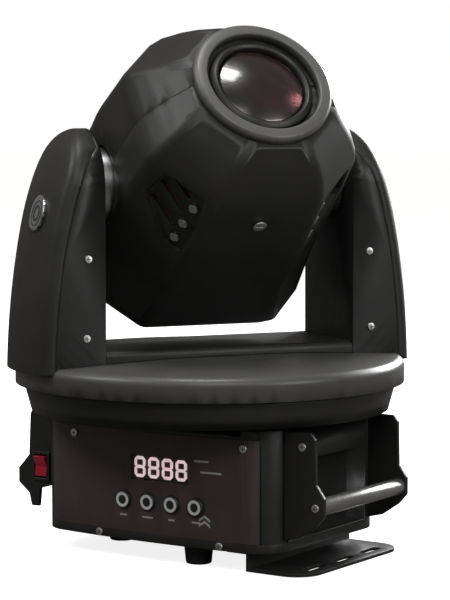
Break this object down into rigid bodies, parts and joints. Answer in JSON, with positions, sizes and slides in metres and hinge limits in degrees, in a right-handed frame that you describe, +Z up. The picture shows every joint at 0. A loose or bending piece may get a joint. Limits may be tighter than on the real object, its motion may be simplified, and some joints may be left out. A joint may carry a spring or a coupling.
{
  "type": "moving head light",
  "caption": "Moving head spot light: octagonal lamp head that tilts in a two-armed yoke, which pans on a base with a display, keys and carry handles.",
  "frame": {"origin": "on the pan axis, at the level of the feet and bracket bottoms", "axes": "+Z up along the pan axis, -Y out of the display side of the base, +X to the side with the mounting bracket"},
  "size_m": [0.374, 0.374, 0.4987],
  "materials": {
    "textured_black": "fine-textured satin black moulding",
    "painted_black": "satin black powder coat on sheet metal",
    "panel_black": null,
    "rubber_black": "moulded rubber foot",
    "belt_rubber": "toothed belt rubber",
    "grip_grey": "satin dark grey tube worn bright by hands",
    "button_black": "gloss black key with a pale ring",
    "display_lit": "tinted display window over lit segments",
    "display_body": "moulded segment display",
    "board_green": "printed circuit board",
    "switch_red": "translucent red rocker",
    "socket_black": "moulded socket",
    "bright_steel": "machined steel",
    "zinc_steel": "zinc-plated sheet steel",
    "alloy": "machined aluminium",
    "screw_steel": "plated screw",
    "badge_silver": "plain silver disc, no mark",
    "lens_glass": "coated lens glass with a purple-brown bloom",
    "lamp_glass": "lamp envelope and ceramic base",
    "mirror_bowl": "polished reflector",
    "motor_black": "stepper motor body",
    "fan_black": "moulded fan",
    "copper_iron": "wound ballast"
  },
  "bodies": {
    "base": {"base_tray": "painted_black", "base_shell": "painted_black", "front_panel": "panel_black", "rear_panel": "panel_black", "panel_screws": "screw_steel", "display_window": "display_lit", "display_module": "display_body", "control_board": "board_green", "signal_sockets": "socket_black", "power_inlet": "socket_black", "ballast": "copper_iron", "rubber_feet": "rubber_black", "handle_cheeks_left": "painted_black", "handle_cheeks_right": "painted_black", "grip_bars": "grip_grey", "power_switch_frame": "socket_black", "mounting_bracket": "painted_black", "bracket_fasteners": "zinc_steel", "pan_spindle": "bright_steel", "pan_pulley": "alloy"},
    "yoke": {"axis_bearings": "bright_steel", "pan_belt": "belt_rubber", "yoke_lower_cover": "textured_black", "yoke_upper_cover": "textured_black", "yoke_chassis": "zinc_steel", "yoke_crossbeam": "textured_black", "arm_frame_left": "painted_black", "arm_frame_right": "painted_black", "arm_cover_left": "textured_black", "arm_cover_right": "textured_black", "arm_screws": "screw_steel", "arm_badges": "badge_silver", "axis_motors": "motor_black", "motor_brackets": "zinc_steel", "tilt_belt": "belt_rubber"},
    "head": {"head_top_cover": "textured_black", "head_bottom_cover": "textured_black", "vent_grilles": "textured_black", "cover_latch": "screw_steel", "front_collar": "textured_black", "lens_barrel": "painted_black", "front_lens": "lens_glass", "head_chassis": "zinc_steel", "tilt_shafts": "bright_steel", "tilt_pulley": "alloy", "lamp_reflector": "mirror_bowl", "lamp": "lamp_glass", "wheel_motors": "motor_black", "fan_housing": "fan_black"},
    "menu_button_1": {"menu_button_1": "button_black"},
    "menu_button_2": {"menu_button_2": "button_black"},
    "menu_button_3": {"menu_button_3": "button_black"},
    "menu_button_4": {"menu_button_4": "button_black"},
    "power_rocker": {"power_rocker": "switch_red"},
    "pan_motor_pulley": {"pan_motor_pulley": "alloy"},
    "tilt_motor_pulley": {"tilt_motor_pulley": "alloy"},
    "colour_wheel": {"colour_wheel": "alloy"},
    "gobo_wheel": {"gobo_wheel": "alloy"},
    "fan_rotor": {"fan_rotor": "fan_black"},
    "focus_carriage": {"focus_carriage": "alloy"}
  },
  "joints": [
    {"name": "button_1_press", "type": "slide", "parent": "base", "child": "menu_button_1", "axis": [0, 1, 0], "range_m": [0, 0.0012], "stiffness_N_per_m": 300},
    {"name": "button_2_press", "type": "slide", "parent": "base", "child": "menu_button_2", "axis": [0, 1, 0], "range_m": [0, 0.0012], "stiffness_N_per_m": 300},
    {"name": "button_3_press", "type": "slide", "parent": "base", "child": "menu_button_3", "axis": [0, 1, 0], "range_m": [0, 0.0012], "stiffness_N_per_m": 300},
    {"name": "button_4_press", "type": "slide", "parent": "base", "child": "menu_button_4", "axis": [0, 1, 0], "range_m": [0, 0.0012], "stiffness_N_per_m": 300},
    {"name": "power_rock", "type": "hinge", "parent": "base", "child": "power_rocker", "pos_m": [-0.147, -0.072, 0.074], "axis": [1, 0, 0], "range_deg": [-12, 0]},
    {"name": "pan", "type": "hinge", "parent": "base", "child": "yoke", "pos_m": [0, 0, 0], "axis": [0, 0, 1], "range_deg": [-327.7, 212.3]},
    {"name": "tilt", "type": "hinge", "parent": "yoke", "child": "head", "pos_m": [0, 0, 0.35], "axis": [0.5344, 0.8453, 0], "range_deg": [-177, 73]},
    {"name": "pan_motor_spin", "type": "hinge", "parent": "yoke", "child": "pan_motor_pulley", "pos_m": [-0.04916, -0.07776, 0.16], "axis": [0, 0, 1], "range_deg": [-770, 1185]},
    {"name": "tilt_motor_spin", "type": "hinge", "parent": "yoke", "child": "tilt_motor_pulley", "pos_m": [0.07481, 0.11834, 0.232], "axis": [0.5344, 0.8453, 0], "range_deg": [-540, 225]},
    {"name": "colour_spin", "type": "hinge", "parent": "head", "child": "colour_wheel", "pos_m": [-0.02413, 0.01525, 0.36704], "axis": [0.6661, -0.4211, 0.6157], "continuous": true},
    {"name": "gobo_spin", "type": "hinge", "parent": "head", "child": "gobo_wheel", "pos_m": [0.01413, -0.00894, 0.32372], "axis": [0.6661, -0.4211, 0.6157], "continuous": true},
    {"name": "fan_spin", "type": "hinge", "parent": "head", "child": "fan_rotor", "pos_m": [-0.07327, 0.04632, 0.28228], "axis": [0.6661, -0.4211, 0.6157], "continuous": true},
    {"name": "focus_slide", "type": "slide", "parent": "head", "child": "focus_carriage", "axis": [0.6661, -0.4211, 0.6157], "range_m": [-0.03, 0.03]}
  ],
  "couplings": [
    {"joint": "pan_motor_spin", "follows": "pan", "ratio": -3.6},
    {"joint": "tilt_motor_spin", "follows": "tilt", "ratio": 3}
  ]
}
